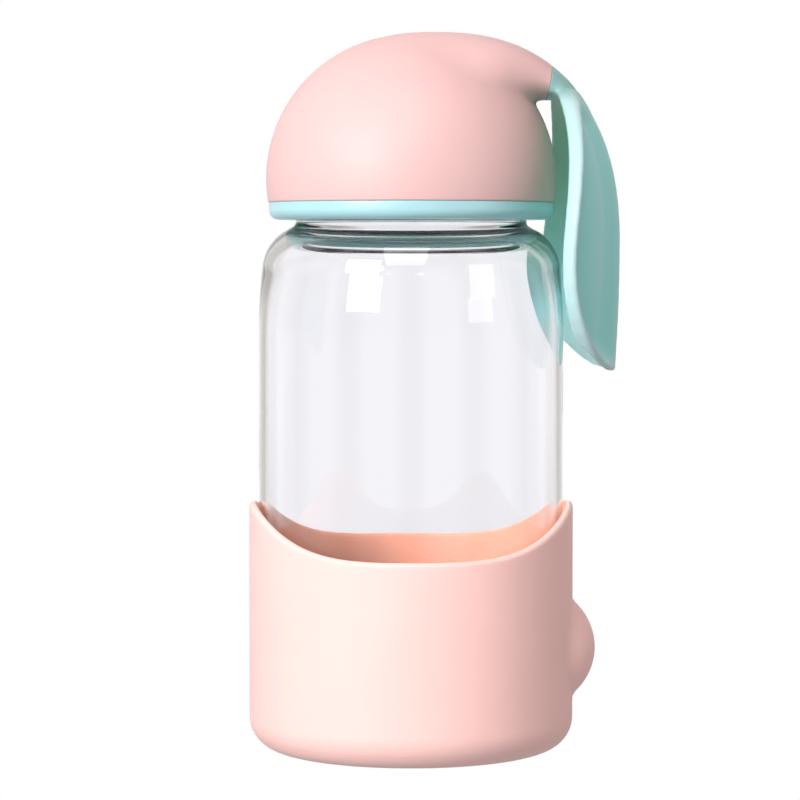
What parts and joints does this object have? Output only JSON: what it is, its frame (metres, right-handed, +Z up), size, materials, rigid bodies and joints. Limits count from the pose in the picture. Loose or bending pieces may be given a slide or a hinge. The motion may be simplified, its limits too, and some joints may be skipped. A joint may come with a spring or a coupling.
{
  "type": "rabbit water bottle",
  "caption": "Clear glass drinking bottle in a soft sleeve with a tail bump, closed by a domed screw lid with a pair of drooping ears at the back.",
  "frame": {"origin": "centre of the sleeve's resting face, on the bottle's axis", "axes": "+Z up along the bottle's axis, +Y towards the rabbit's back with the tail and the ears, +X towards its left side"},
  "size_m": [0.072, 0.0821, 0.1589],
  "materials": {
    "sleeve_silicone": "matte",
    "clear_glass": "polished",
    "cap_plastic": "satin",
    "gasket_silicone": "matte",
    "dome_plastic": "matte",
    "ear_silicone": "matte"
  },
  "bodies": {
    "sleeve": {"silicone_sleeve": "sleeve_silicone"},
    "bottle": {"glass_bottle": "clear_glass"},
    "seal": {"cap_gasket": "gasket_silicone"},
    "lid": {"inner_cap": "cap_plastic", "dome_cover": "dome_plastic", "ear_pair": "ear_silicone"}
  },
  "joints": [
    {"name": "bottle_slide", "type": "slide", "parent": "sleeve", "child": "bottle", "axis": [0, 0, 1], "range_m": [0, 0.056]},
    {"name": "lid_rise", "type": "slide", "parent": "bottle", "child": "seal", "axis": [0, 0, 1], "range_m": [0, 0.018]},
    {"name": "lid_turn", "type": "hinge", "parent": "seal", "child": "lid", "pos_m": [0, 0, 0.1175], "axis": [0, 0, 1], "range_deg": [0, 1080]}
  ],
  "couplings": [
    {"joint": "lid_rise", "follows": "lid_turn", "m_per_rad": 0.00095493}
  ]
}
